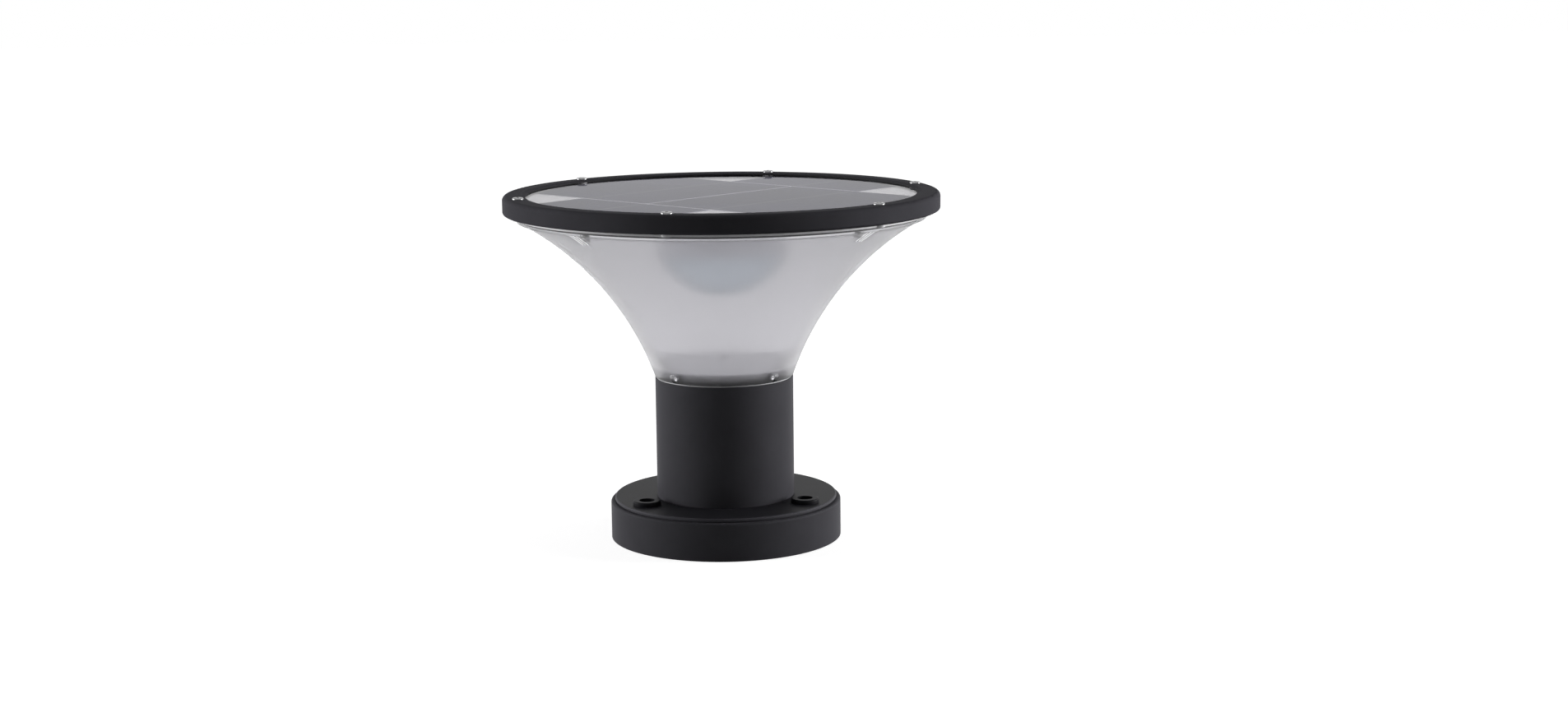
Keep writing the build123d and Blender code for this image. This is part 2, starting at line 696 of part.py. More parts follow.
# Grommet where the wiring leaves the post
with BuildPart() as cable_grommet:
    with BuildSketch(Plane.XY.offset(z_cap)):
        with Locations((0, grommet_y)):
            Circle(grommet_r)
    extrude(amount=CAP_T)
    with BuildSketch(Plane.XY.offset(z_post_top)):
        with Locations((0, grommet_y)):
            Circle(grommet_r + GROMMET_FLANGE_W)
    extrude(amount=GROMMET_FLANGE_T)
    with BuildSketch(Plane.XY.offset(z_cap)):
        with Locations((0, grommet_y)):
            Circle(GROMMET_BORE_D / 2)
    extrude(amount=CAP_T + GROMMET_FLANGE_T, mode=Mode.SUBTRACT)
cable_grommet.part.label = "cable_grommet"
export_step(cable_grommet.part, "parts/cable_grommet.step")

# Reflector disc on the cap's rim, with a hole for the wiring
with BuildPart() as foot_reflector:
    with BuildSketch(Plane.XY.offset(z_post_top + CAP_RIM_H)):
        Circle(cap_rim_r - REFLECTOR_INSET)
        with Locations((0, grommet_y)):
            Circle(GROMMET_BORE_D / 2 + HOLE_CLEAR, mode=Mode.SUBTRACT)
    extrude(amount=REFLECTOR_T)
foot_reflector.part.label = "foot_reflector"
export_step(foot_reflector.part, "parts/foot_reflector.step")

# Shade: a flared shell whose outside is one arc from the post to the flange
chord_r = flare_r - post_r
chord_z = z_flange - z_shade
chord = math.hypot(chord_r, chord_z)
reach = math.sqrt(SHADE_ARC_R**2 - (chord / 2) ** 2)
arc_r = (post_r + flare_r) / 2 + reach * chord_z / chord
arc_z = (z_shade + z_flange) / 2 - reach * chord_r / chord


def flare(height, inside=0.0):
    """Radius of the shade's outer arc at a height, or of the arc this far inside it."""
    return arc_r - math.sqrt((SHADE_ARC_R + inside) ** 2 - (height - arc_z) ** 2)


def flare_point(height, inside=0.0):
    return (flare(height, inside), height)


z_collar_rim = z_shade + COLLAR_H
z_slope_top = z_collar_rim + COLLAR_SLOPE_H
z_root = z_shade_top - FLANGE_ROOT_T
z_mark = z_flange - MARK_H
with BuildPart() as shade:
    with BuildSketch(Plane.XY.offset(z_tray)):
        with PolarLocations(shade_boss_r, SHADE_BOSS_COUNT, SHADE_BOSS_TURN):
            Circle(SHADE_BOSS_D / 2)
    extrude(amount=-SHADE_BOSS_ROOT)
    with BuildSketch(Plane.XZ):
        with BuildLine():
            Line((0, z_shade), flare_point(z_shade, SHADE_WALL / 2))
            ThreePointArc(
                flare_point(z_shade, SHADE_WALL / 2),
                flare_point((z_shade + z_flange) / 2, SHADE_WALL / 2),
                flare_point(z_flange, SHADE_WALL / 2),
            )
            Polyline(flare_point(z_flange, SHADE_WALL / 2), (flare_r, z_tray), (0, z_tray), (0, z_shade))
        make_face()
    revolve(axis=Axis.Z, mode=Mode.INTERSECT)
    with BuildSketch(Plane.XZ):
        with BuildLine():
            ThreePointArc(
                flare_point(z_shade),
                flare_point((z_shade + z_flange) / 2),
                flare_point(z_flange),
            )
            Polyline(
                flare_point(z_flange),
                (flange_r, z_flange),
                (flange_r, z_shade_top),
                (flare(z_root, SHADE_WALL), z_shade_top),
                flare_point(z_root, SHADE_WALL),
            )
            ThreePointArc(
                flare_point(z_root, SHADE_WALL),
                flare_point((z_root + z_slope_top) / 2, SHADE_WALL),
                flare_point(z_slope_top, SHADE_WALL),
            )
            Polyline(
                flare_point(z_slope_top, SHADE_WALL),
                (collar_r, z_collar_rim),
                (collar_r, z_shade),
                flare_point(z_shade),
            )
        make_face()
    revolve(axis=Axis.Z)
    mark_turn = math.degrees(MARK_W / shade_boss_r)
    for boss in range(SHADE_BOSS_COUNT):
        turn = SHADE_BOSS_TURN + boss * 360 / SHADE_BOSS_COUNT
        with BuildSketch(meridian(turn - mark_turn / 2)):
            with BuildLine():
                Line(flare_point(z_mark, SHADE_WALL / 2), flare_point(z_mark, -MARK_T))
                ThreePointArc(
                    flare_point(z_mark, -MARK_T),
                    flare_point((z_mark + z_flange) / 2, -MARK_T),
                    flare_point(z_flange, -MARK_T),
                )
                Line(flare_point(z_flange, -MARK_T), flare_point(z_flange, SHADE_WALL / 2))
                ThreePointArc(
                    flare_point(z_flange, SHADE_WALL / 2),
                    flare_point((z_mark + z_flange) / 2, SHADE_WALL / 2),
                    flare_point(z_mark, SHADE_WALL / 2),
                )
            make_face()
        revolve(axis=Axis.Z, revolution_arc=mark_turn)
    with BuildSketch(Plane.XY.offset(z_tray)):
        with PolarLocations(shade_boss_r, SHADE_BOSS_COUNT, SHADE_BOSS_TURN):
            Circle(M3_D / 2 + THREAD_CLEAR)
    extrude(amount=-SHADE_PILOT_L, mode=Mode.SUBTRACT)
    for screw in range(SHADE_BOSS_COUNT):
        turn = SHADE_BOSS_TURN + screw * 360 / SHADE_BOSS_COUNT
        with BuildSketch(outward(turn, spot_face_r, z_foot_screw)):
            Circle(FOOT_HEAD_D / 2 + HOLE_CLEAR)
        extrude(amount=SPOT_FACE_CUT, mode=Mode.SUBTRACT)
        with BuildSketch(outward(turn, spot_face_r, z_foot_screw)):
            Circle(M3_D / 2 + HOLE_CLEAR)
        extrude(amount=-foot_screw_l, mode=Mode.SUBTRACT)
shade.part.label = "shade"
export_step(shade.part, "parts/shade.step")

with BuildPart() as shade_foot_gasket:
    with BuildSketch(Plane.XY.offset(z_post_top)):
        Circle(post_r - FOOT_GASKET_INSET)
        Circle(post_inner_r, mode=Mode.SUBTRACT)
    extrude(amount=FOOT_GASKET_T)
shade_foot_gasket.part.label = "shade_foot_gasket"
export_step(shade_foot_gasket.part, "parts/shade_foot_gasket.step")

# Radial screws through the shade's foot into the cap's rim, with their heads sunk
foot_screw = pan_screw(M3_D, FOOT_HEAD_D, FOOT_HEAD_H, foot_screw_l)
with BuildPart() as shade_foot_screws:
    for screw in range(SHADE_BOSS_COUNT):
        turn = SHADE_BOSS_TURN + screw * 360 / SHADE_BOSS_COUNT
        with Locations(outward(turn, spot_face_r, z_foot_screw)):
            add(foot_screw)
shade_foot_screws.part.label = "shade_foot_screws"
export_step(shade_foot_screws.part, "parts/shade_foot_screws.step")

gasket_r = flange_r - SHADE_GASKET_INSET
with BuildPart() as shade_gasket:
    with BuildSketch(Plane.XY.offset(z_shade_top)):
        Circle(gasket_r)
        Circle(gasket_r - SHADE_GASKET_W, mode=Mode.SUBTRACT)
    extrude(amount=SHADE_GASKET_T)
shade_gasket.part.label = "shade_gasket"
export_step(shade_gasket.part, "parts/shade_gasket.step")

shade_screw = pan_screw(M3_D, M3_HEAD_D, M3_HEAD_H, SHADE_SCREW_L)
with BuildPart(Plane.XY.offset(z_floor_top)) as shade_head_screws:
    with PolarLocations(shade_boss_r, SHADE_BOSS_COUNT, SHADE_BOSS_TURN):
        add(shade_screw)
shade_head_screws.part.label = "shade_head_screws"
export_step(shade_head_screws.part, "parts/shade_head_screws.step")

# Panel tray: floor over the shade, wall under the panel, bosses for the bezel screws, board standoffs
with BuildPart() as panel_tray:
    with BuildSketch(Plane.XY.offset(z_tray)):
        Circle(tray_r)
    extrude(amount=TRAY_FLOOR_T)
    with BuildSketch(Plane.XY.offset(z_floor_top)):
        Circle(glass_r)
        Circle(tray_wall_inner_r, mode=Mode.SUBTRACT)
    extrude(amount=TRAY_WALL_H)
    with BuildSketch(Plane.XY.offset(z_tray)):
        with PolarLocations(bezel_screw_r, BEZEL_SCREW_COUNT, BEZEL_SCREW_TURN):
            Circle(TRAY_BOSS_D / 2)
    extrude(amount=z_bezel_plate - z_tray)
    with BuildSketch(Plane.XY.offset(z_tray)):
        with GridLocations(STANDOFF_X, STANDOFF_Y, 2, 2):
            Circle(STANDOFF_D / 2)
    extrude(amount=-STANDOFF_H)
    with BuildSketch(Plane.XY.offset(z_tray)):
        Circle(LEAD_HOLE_D / 2)
        with PolarLocations(bezel_screw_r, BEZEL_SCREW_COUNT, BEZEL_SCREW_TURN):
            Circle(M3_D / 2 + THREAD_CLEAR)
        with PolarLocations(shade_boss_r, SHADE_BOSS_COUNT, SHADE_BOSS_TURN):
            Circle(M3_D / 2 + HOLE_CLEAR)
        with PolarLocations(housing_boss_r, HOUSING_BOSS_COUNT, HOUSING_BOSS_TURN):
            Circle(M3_D / 2 + HOLE_CLEAR)
    extrude(amount=z_bezel_plate - z_tray, mode=Mode.SUBTRACT)
    with BuildSketch(Plane.XY.offset(z_board_top)):
        with GridLocations(STANDOFF_X, STANDOFF_Y, 2, 2):
            Circle(M25_D / 2 + THREAD_CLEAR)
    extrude(amount=BOARD_SCREW_L - BOARD_T + PILOT_SPARE, mode=Mode.SUBTRACT)
panel_tray.part.label = "panel_tray"
export_step(panel_tray.part, "parts/panel_tray.step")

# LED housing: an open ring under the tray with a ledge over the LED board
with BuildPart() as led_housing:
    with BuildSketch(Plane.XY.offset(z_dome)):
        Circle(housing_r)
        Circle(housing_inner_r, mode=Mode.SUBTRACT)
    extrude(amount=z_tray - z_dome)
    with BuildSketch(Plane.XY.offset(z_led_board_top)):
        Circle(housing_inner_r + HOUSING_WALL / 2)
        Circle(housing_inner_r - HOUSING_LEDGE_W, mode=Mode.SUBTRACT)
    extrude(amount=HOUSING_LEDGE_T)
    with BuildSketch(Plane.XY.offset(z_led_board_top)):
        with PolarLocations(housing_boss_r, HOUSING_BOSS_COUNT, HOUSING_BOSS_TURN):
            Circle(HOUSING_BOSS_D / 2)
    extrude(amount=z_tray - z_led_board_top)
    with BuildSketch(Plane.XY.offset(z_tray)):
        with PolarLocations(housing_boss_r, HOUSING_BOSS_COUNT, HOUSING_BOSS_TURN):
            Circle(M3_D / 2 + THREAD_CLEAR)
    extrude(amount=-HOUSING_PILOT_L, mode=Mode.SUBTRACT)
    with BuildSketch(outward(GROMMET_TURN, housing_r, z_plug)):
        Circle(grommet_r + GROMMET_FIT)
    extrude(amount=2 * HOUSING_WALL, both=True, mode=Mode.SUBTRACT)
led_housing.part.label = "led_housing"
export_step(led_housing.part, "parts/led_housing.step")

housing_screw = pan_screw(M3_D, M3_HEAD_D, M3_HEAD_H, HOUSING_SCREW_L)
with BuildPart(Plane.XY.offset(z_floor_top)) as housing_screws:
    with PolarLocations(housing_boss_r, HOUSING_BOSS_COUNT, HOUSING_BOSS_TURN):
        add(housing_screw)
housing_screws.part.label = "housing_screws"
export_step(housing_screws.part, "parts/housing_screws.step")

# Grommet where the wiring enters the housing
with BuildPart() as housing_grommet:
    with BuildSketch(outward(GROMMET_TURN, housing_inner_r, z_plug)):
        Circle(grommet_r)
    extrude(amount=HOUSING_WALL + GROMMET_FLANGE_T)
    with BuildSketch(outward(GROMMET_TURN, housing_r, z_plug)):
        Circle(grommet_r + GROMMET_FLANGE_W)
    extrude(amount=GROMMET_FLANGE_T)
    with BuildSketch(outward(GROMMET_TURN, housing_inner_r, z_plug)):
        Circle(GROMMET_BORE_D / 2)
    extrude(amount=HOUSING_WALL + GROMMET_FLANGE_T, mode=Mode.SUBTRACT)
housing_grommet.part.label = "housing_grommet"
export_step(housing_grommet.part, "parts/housing_grommet.step")

# LED board, seated against the ledge, with its chips facing down
with BuildPart() as led_board:
    with BuildSketch(Plane.XY.offset(z_led_board)):
        Circle(housing_inner_r - LED_BOARD_FIT)
    extrude(amount=LED_BOARD_T)
led_board.part.label = "led_board"
export_step(led_board.part, "parts/led_board.step")

with BuildPart() as led_chips:
    with BuildSketch(Plane.XY.offset(z_led_board)):
        with PolarLocations(LED_OUTER_RING_R, LED_OUTER_COUNT):
            Rectangle(LED_L, LED_W)
        with PolarLocations(LED_INNER_RING_R, LED_INNER_COUNT):
            Rectangle(LED_L, LED_W)
    extrude(amount=-LED_T)
led_chips.part.label = "led_chips"
export_step(led_chips.part, "parts/led_chips.step")

# Light dome: a deep spherical cap with a spigot inside the housing
dome_sphere_r = (housing_r**2 + DOME_DEPTH**2) / (2 * DOME_DEPTH)
z_sphere = z_dome - DOME_DEPTH + dome_sphere_r
spigot_outer_r = housing_inner_r - DOME_FIT
spigot_inner_r = spigot_outer_r - DOME_SPIGOT_W
dome_inner_sphere_r = dome_sphere_r - DOME_WALL
z_dome_inner = z_sphere - math.sqrt(dome_inner_sphere_r**2 - spigot_inner_r**2)


def sphere_point(radius, fall):
    """Point of a circle about the dome's centre, this many degrees below its level."""
    turn = math.radians(fall)
    return (radius * math.cos(turn), z_sphere - radius * math.sin(turn))


outer_fall = math.degrees(math.asin((z_sphere - z_dome) / dome_sphere_r))
inner_fall = math.degrees(math.asin((z_sphere - z_dome_inner) / dome_inner_sphere_r))
with BuildPart() as led_dome:
    with BuildSketch(Plane.XZ):
        with BuildLine():
            ThreePointArc(
                (housing_r, z_dome),
                sphere_point(dome_sphere_r, (outer_fall + 90) / 2),
                (0, z_sphere - dome_sphere_r),
            )
            Line((0, z_sphere - dome_sphere_r), (0, z_sphere - dome_inner_sphere_r))
            ThreePointArc(
                (0, z_sphere - dome_inner_sphere_r),
                sphere_point(dome_inner_sphere_r, (inner_fall + 90) / 2),
                (spigot_inner_r, z_dome_inner),
            )
            Polyline(
                (spigot_inner_r, z_dome_inner),
                (spigot_inner_r, z_led_board),
                (spigot_outer_r, z_led_board),
                (spigot_outer_r, z_dome),
                (housing_r, z_dome),
            )
        make_face()
    revolve(axis=Axis.Z)
led_dome.part.label = "led_dome"
export_step(led_dome.part, "parts/led_dome.step")

# Control board on the tray's standoffs, with its parts underneath
with BuildPart() as control_board:
    with BuildSketch(Plane.XY.offset(z_board)):
        RectangleRounded(STANDOFF_X + 2 * BOARD_MARGIN, STANDOFF_Y + 2 * BOARD_MARGIN, BOARD_CORNER_R)
        with GridLocations(STANDOFF_X, STANDOFF_Y, 2, 2):
            Circle(M25_D / 2 + HOLE_CLEAR, mode=Mode.SUBTRACT)
    extrude(amount=BOARD_T)
control_board.part.label = "control_board"
export_step(control_board.part, "parts/control_board.step")

with BuildPart() as control_parts:
    with BuildSketch(Plane.XY.offset(z_board)):
        with Locations((0, plug_y)):
            Rectangle(PLUG_W, PLUG_L)
    extrude(amount=-PLUG_H)
    with BuildSketch(Plane.XY.offset(z_board)):
        with Locations((-TALL_PART_X, TALL_PART_Y)):
            Circle(CHOKE_D / 2)
    extrude(amount=-CHOKE_H)
    with BuildSketch(Plane.XY.offset(z_board)):
        with Locations((TALL_PART_X, TALL_PART_Y)):
            Circle(CAPACITOR_D / 2)
    extrude(amount=-PARTS_H)
    with BuildSketch(Plane.XY.offset(z_board)):
        with Locations((0, CHIP_Y)):
            Rectangle(CHIP_SIDE, CHIP_SIDE)
    extrude(amount=-CHIP_H)
control_parts.part.label = "control_parts"
export_step(control_parts.part, "parts/control_parts.step")

board_screw = pan_screw(M25_D, M25_HEAD_D, M25_HEAD_H, BOARD_SCREW_L, from_below=True)
with BuildPart(Plane.XY.offset(z_board)) as board_screws:
    with GridLocations(STANDOFF_X, STANDOFF_Y, 2, 2):
        add(board_screw)
board_screws.part.label = "board_screws"
export_step(board_screws.part, "parts/board_screws.step")

# Solar panel: backsheet, four cells cut to the circle, and glass
with BuildPart() as panel_backsheet:
    with BuildSketch(Plane.XY.offset(z_backsheet)):
        Circle(glass_r)
    extrude(amount=BACKSHEET_T)
panel_backsheet.part.label = "panel_backsheet"
export_step(panel_backsheet.part, "parts/panel_backsheet.step")

side_cell_x = STRIP_HALF_W + SHEET_GAP
side_cell_w = sheet_r - side_cell_x
strip_cell_y = SHEET_GAP / 2
strip_cell_h = sheet_r - strip_cell_y
with BuildPart() as solar_cells:
    with BuildSketch(Plane.XY.offset(z_sheet).rotated((0, 0, PANEL_TURN))):
        for side in (-1, 1):
            with Locations((0, side * (strip_cell_y + strip_cell_h / 2))):
                Rectangle(2 * STRIP_HALF_W, strip_cell_h)
            with Locations((side * (side_cell_x + side_cell_w / 2), 0)):
                Rectangle(side_cell_w, 2 * SIDE_HALF_L)
        Circle(sheet_r, mode=Mode.INTERSECT)
    extrude(amount=CELL_SHEET_T)
solar_cells.part.label = "solar_cells"
export_step(solar_cells.part, "parts/solar_cells.step")

with BuildPart() as panel_glass:
    with BuildSketch(Plane.XY.offset(z_glass)):
        Circle(glass_r)
    extrude(amount=GLASS_T)
    fillet(panel_glass.edges().filter_by(GeomType.CIRCLE), GLASS_EDGE_R)
panel_glass.part.label = "panel_glass"
export_step(panel_glass.part, "parts/panel_glass.step")

with BuildPart() as glass_gasket:
    with BuildSketch(Plane.XY.offset(z_glass_top)):
        Circle(glass_r - GLASS_EDGE_R)
        Circle(bezel_open_r, mode=Mode.SUBTRACT)
    extrude(amount=GLASS_GASKET_T)
glass_gasket.part.label = "glass_gasket"
export_step(glass_gasket.part, "parts/glass_gasket.step")

# Top bezel: a plate over the edge of the glass with a skirt around the tray
with BuildPart() as top_bezel:
    with BuildSketch(Plane.XZ):
        with BuildLine():
            Polyline(
                (bezel_open_r, z_bezel_plate),
                (bezel_open_r, z_bezel_top - BEZEL_BEVEL_H),
                (bezel_open_r + BEZEL_BEVEL_W, z_bezel_top),
                (bezel_r, z_bezel_top),
                (bezel_r, z_bezel_top - BEZEL_H),
                (bezel_skirt_r, z_bezel_top - BEZEL_H),
                (bezel_skirt_r, z_bezel_plate),
                close=True,
            )
        make_face()
    revolve(axis=Axis.Z)
    bezel_edges = top_bezel.edges().filter_by(GeomType.CIRCLE).group_by(SortBy.RADIUS)[-1]
    fillet(bezel_edges.sort_by(Axis.Z)[-1], BEZEL_TOP_R)
    bezel_edges = top_bezel.edges().filter_by(GeomType.CIRCLE).group_by(Axis.Z)[0]
    fillet(bezel_edges.sort_by(SortBy.RADIUS)[-1], BEZEL_FOOT_R)
    with BuildSketch(Plane.XY.offset(z_bezel_plate)):
        with PolarLocations(bezel_screw_r, BEZEL_SCREW_COUNT, BEZEL_SCREW_TURN):
            Circle(M3_D / 2 + HOLE_CLEAR)
    extrude(amount=BEZEL_T, mode=Mode.SUBTRACT)
top_bezel.part.label = "top_bezel"
export_step(top_bezel.part, "parts/top_bezel.step")

bezel_screw = pan_screw(M3_D, BEZEL_HEAD_D, BEZEL_HEAD_H, BEZEL_SCREW_L)
with BuildPart(Plane.XY.offset(z_bezel_top)) as bezel_screws:
    with PolarLocations(bezel_screw_r, BEZEL_SCREW_COUNT, BEZEL_SCREW_TURN):
        add(bezel_screw)
bezel_screws.part.label = "bezel_screws"
export_step(bezel_screws.part, "parts/bezel_screws.step")
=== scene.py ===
import json
import math

import bpy
from mathutils import Matrix, Vector


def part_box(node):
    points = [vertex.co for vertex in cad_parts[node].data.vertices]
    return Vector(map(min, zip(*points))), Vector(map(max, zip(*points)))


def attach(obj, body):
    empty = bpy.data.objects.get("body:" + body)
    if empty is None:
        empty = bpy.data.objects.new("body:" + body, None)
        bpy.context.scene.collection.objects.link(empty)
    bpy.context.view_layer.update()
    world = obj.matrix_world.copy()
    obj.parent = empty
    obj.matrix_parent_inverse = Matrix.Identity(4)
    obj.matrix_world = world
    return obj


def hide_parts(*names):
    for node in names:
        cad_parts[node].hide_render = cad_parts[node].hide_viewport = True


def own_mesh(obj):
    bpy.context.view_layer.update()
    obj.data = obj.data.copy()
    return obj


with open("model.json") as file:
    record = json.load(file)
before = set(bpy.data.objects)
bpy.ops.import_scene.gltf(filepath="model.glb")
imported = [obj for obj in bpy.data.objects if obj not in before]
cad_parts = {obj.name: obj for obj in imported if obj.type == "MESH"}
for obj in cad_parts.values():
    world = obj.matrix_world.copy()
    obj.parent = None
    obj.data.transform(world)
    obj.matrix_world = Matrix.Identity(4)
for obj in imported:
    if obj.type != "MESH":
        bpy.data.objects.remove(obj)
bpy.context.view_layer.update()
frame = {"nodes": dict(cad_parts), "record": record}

# Camera, fitted to the photograph: metres and degrees
CAMERA_PLACE = Vector((0.0, -1.3189, 0.3337))
CAMERA_PITCH = -9.907
CAMERA_YAW = 1.51
CAMERA_ROLL = -0.572
CAMERA_LENS_MM = 53.03
CAMERA_SENSOR_MM = 36.0
CAMERA_CLIP = 0.01

# Floor: metres. Its glow rises from near the object to far away, so that it reads white
FLOOR_SIZE = 16.0
FLOOR_HEIGHT = -0.0002
FLOOR_COLOUR = (0.5, 0.5, 0.5)
FLOOR_ROUGHNESS = 0.9
NEAR_FLOOR_GLOW = 0.82
FAR_FLOOR_GLOW = 1.0
FLOOR_GLOW_RADII = (0.25, 1.0)

# Light: metres and watts
WHITE = (1.0, 1.0, 1.0, 1.0)
AMBIENT = 0.03
LEFT_LAMP_POWER = 50.0
RIGHT_LAMP_POWER = 62.0
SIDE_LAMP_SIZE = (1.4, 1.2)
SIDE_LAMP_PLACE = (2.0, 0.2, 0.4)
TOP_LAMP_POWER = 6.0
TOP_LAMP_SIZE = (1.6, 1.6)
TOP_LAMP_PLACE = (0.0, 0.5, 2.2)
LAMP_AIM = Vector((0.0, 0.0, 0.1))

# Noise patterns: scale per metre and octaves of detail. Most of a noise's values lie in NOISE_SPAN
NOISE_SPAN = (0.3, 0.7)
COAT_CLOUDS = (38.0, 4.0)
COAT_PEEL = (2600.0, 2.0)
CAP_GRAIN = (1400.0, 2.0)
MOULD_CLOUDS = (60.0, 4.0)
MOULD_GRAIN = (1400.0, 2.0)
RUBBER_GRAIN = (900.0, 2.0)
FOAM_GRAIN = (700.0, 2.0)
METAL_CLOUDS = (500.0, 3.0)
METAL_GRAIN = (4000.0, 2.0)
MILK_CLOUDS = (30.0, 3.0)
SHADE_GRAIN = (3000.0, 2.0)
DOME_CLOUDS = (90.0, 3.0)
GLASS_STIPPLE = (1800.0, 2.0)
CELL_CLOUDS = (22.0, 4.0)

# Relief of the surfaces: metres
PEEL_DEPTH = 0.00003
MOULD_DEPTH = 0.00003
FOAM_DEPTH = 0.0002
FINE_DEPTH = 0.00001
STIPPLE_DEPTH = 0.000001

# Uneven tone, as the darkest and the lightest share of a colour
COAT_TONES = (0.92, 1.08)
PLATE_TONES = (0.85, 1.25)
MOULD_TONES = (0.93, 1.05)
METAL_TONES = (0.88, 1.06)
DOME_TONES = (0.98, 1.01)

# Uneven roughness, as what is added to the plain one
COAT_DRIFT = (-0.04, 0.04)
MOULD_DRIFT = (-0.04, 0.05)
METAL_DRIFT = (-0.06, 0.08)

# Sockets of the Mix node in its colour mode
MIX_SHARE = 0
MIX_COLOURS = (6, 7)
MIX_RESULT = 2

# Places on the CAD nodes that the finishes measure from: metres
SHADE_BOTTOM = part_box("shade")[0][2]
SHADE_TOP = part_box("shade")[1][2]
CAP_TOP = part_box("post_cap")[1][2]
PLATE_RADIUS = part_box("flange_plate")[1][0]

# Solar cells, in the panel's own turn: metres, degrees and shares
PANEL_TURN = 46.4
STRIP_HALF_WIDTH = 0.0608
FINGER_PITCH = 0.0024
FINGER_SHARE = 0.07
FINGER_STRENGTH = 0.25
BUSBAR_WIDTH = 0.0011
STRIP_BUSBAR = 0.048

# Screw marks near the shade's flange, polished facets with a painted dark line of shade down their middle:
# metres and degrees
MARK_TURN = 46.5
MARK_HALF_WIDTH = 0.0016
MARK_LINE_HALF_WIDTH = 0.0005
MARK_MIDDLE = SHADE_TOP - 0.0054
MARK_HALF_HEIGHT = 0.003

# Painted highlight on the rim of the shade's flange, from this height up: metres
FLANGE_RIM_LOW = SHADE_TOP - 0.0026

# Milky tint of the shade, lighter low down than higher up, and its collar painted darker as shade: metres,
# and the share that the clouds add
MILK_FADE_LOW = SHADE_BOTTOM + 0.0204
MILK_FADE_HIGH = SHADE_BOTTOM + 0.0804
MILK_CLOUD_DRIFT = 0.1
COLLAR_FADE_LOW = SHADE_BOTTOM + 0.0054
COLLAR_FADE_HIGH = SHADE_BOTTOM + 0.0080

# Post cap inside the shade's foot, painted with light at its top that fades into shade lower down: metres
CAP_FADE_LOW = CAP_TOP - 0.0044

# Painted highlight on the rounded edge of the flange plate, from this radius out: metres
PLATE_EDGE_RADIUS = PLATE_RADIUS - 0.0008


def shaded(base, factor):
    """A colour made lighter or darker."""
    return tuple(channel * factor for channel in base)


class Shader:
    """A material's node tree, with short calls for the nodes that several materials share."""

    def __init__(self, name, colour, roughness, **sockets):
        self.material = bpy.data.materials.new(name)
        self.material.use_nodes = True
        self.nodes = self.material.node_tree.nodes
        self.links = self.material.node_tree.links
        self.principled = self.nodes["Principled BSDF"]
        self.roughness = roughness
        self.set("Base Color", (*colour, 1.0))
        self.set("Roughness", roughness)
        for socket, value in sockets.items():
            self.set(socket.replace("_", " "), value)

    def set(self, socket, value):
        self.principled.inputs[socket].default_value = value

    def drive(self, socket, value):
        """Let another node's output set a socket of the material."""
        self.join(value, self.principled.inputs[socket])

    def node(self, kind, **inputs):
        made = self.nodes.new(kind)
        for socket, value in inputs.items():
            made.inputs[socket].default_value = value
        return made

    def join(self, source, target):
        self.links.new(source, target)

    def place(self):
        """Object coordinates, in metres."""
        return self.node("ShaderNodeTexCoord").outputs["Object"]

    def noise(self, pattern, place=None):
        """A noise of this scale and detail."""
        scale, detail = pattern
        texture = self.node("ShaderNodeTexNoise", Scale=scale, Detail=detail)
        self.join(place or self.place(), texture.inputs["Vector"])
        return texture.outputs["Fac"]

    def stretch(self, value, span, low, high):
        """A value that runs over a span, moved to run from low to high."""
        mapped = self.nodes.new("ShaderNodeMapRange")
        mapped.inputs["From Min"].default_value, mapped.inputs["From Max"].default_value = span
        mapped.inputs["To Min"].default_value = low
        mapped.inputs["To Max"].default_value = high
        self.join(value, mapped.inputs["Value"])
        return mapped.outputs["Result"]

    def spread(self, noise, low, high):
        """A noise stretched over a range of plain numbers."""
        return self.stretch(noise, NOISE_SPAN, low, high)

    def ramp(self, value, start, end):
        """A value as a share of this range, from 0 to 1."""
        return self.stretch(value, (start, end), 0.0, 1.0)

    def blend(self, value, first, second):
        """Colour between two, with a value from 0 to 1. Each is a plain colour or another node's output."""
        mix = self.nodes.new("ShaderNodeMix")
        mix.data_type = "RGBA"
        for number, colour in zip(MIX_COLOURS, (first, second)):
            slot = mix.inputs[number]
            if isinstance(colour, tuple):
                slot.default_value = (*colour, 1.0)
            else:
                self.join(colour, slot)
        self.join(value, mix.inputs[MIX_SHARE])
        return mix.outputs[MIX_RESULT]

    def uneven(self, noise, colour, tones):
        """A colour that is darker and lighter with a noise."""
        darkest, lightest = tones
        return self.blend(self.spread(noise, 0.0, 1.0), shaded(colour, darkest), shaded(colour, lightest))

    def paint(self, colour):
        self.drive("Base Color", colour)

    def rub(self, noise, drift):
        """Roughness that drifts with a noise."""
        low, high = drift
        self.drive("Roughness", self.spread(noise, self.roughness + low, self.roughness + high))

    def bump(self, value, depth):
        """Relief of this depth in metres."""
        relief = self.node("ShaderNodeBump", Strength=1.0, Distance=depth)
        self.join(value, relief.inputs["Height"])
        self.drive("Normal", relief.outputs["Normal"])

    def parts(self, place):
        """X, Y and Z of a place."""
        split = self.node("ShaderNodeSeparateXYZ")
        self.join(place, split.inputs["Vector"])
        return split.outputs

    def sideways(self, turn, x, y):
        """Sideways distance from the meridian at this turn from the X axis, the same in all four quarters."""
        angle = self.math("ARCTAN2", self.math("ABSOLUTE", y), self.math("ABSOLUTE", x))
        off = self.math("SUBTRACT", angle, math.radians(turn))
        return self.math("MULTIPLY", self.hypot(x, y), self.math("SINE", off))

    def hypot(self, first, second):
        squares = [self.math("MULTIPLY", side, side) for side in (first, second)]
        return self.math("SQRT", self.math("ADD", *squares))

    def math(self, operation, *values):
        made = self.nodes.new("ShaderNodeMath")
        made.operation = operation
        for slot, value in zip(made.inputs, values):
            if isinstance(value, (int, float)):
                slot.default_value = value
            else:
                self.join(value, slot)
        return made.outputs[0]


